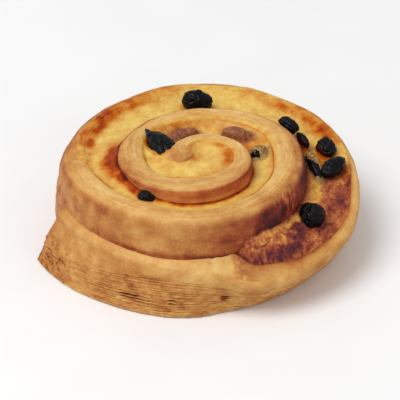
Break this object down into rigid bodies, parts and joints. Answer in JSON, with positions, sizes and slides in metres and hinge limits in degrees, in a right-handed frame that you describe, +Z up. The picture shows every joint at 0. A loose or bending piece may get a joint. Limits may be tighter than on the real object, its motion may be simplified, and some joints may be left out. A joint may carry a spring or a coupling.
{
  "type": "custard and raisin swirl pastry",
  "caption": "Baked spiral pastry: a coil of laminated dough with a flared tail, filled with custard and raisins, flat underneath.",
  "frame": {"origin": "middle of the outline seen from above, on the flat underside", "axes": "+Z up, -Y towards the front with the pastry's flared tail, +X to the right seen from the front"},
  "size_m": [0.1109, 0.1012, 0.0379],
  "materials": {
    "dough": "baked laminated dough, golden with a soft sheen",
    "custard": "baked custard, satin, browned in patches",
    "raisin": "wrinkled, nearly black, slightly glossy"
  },
  "bodies": {
    "root": {"dough_coil": "dough", "custard_filling": "custard", "raisin_01": "raisin", "raisin_02": "raisin", "raisin_03": "raisin", "raisin_04": "raisin", "raisin_05": "raisin", "raisin_06": "raisin", "raisin_07": "raisin", "raisin_08": "raisin", "raisin_09": "raisin", "raisin_10": "raisin", "raisin_11": "raisin", "raisin_12": "raisin"}
  },
  "joints": []
}
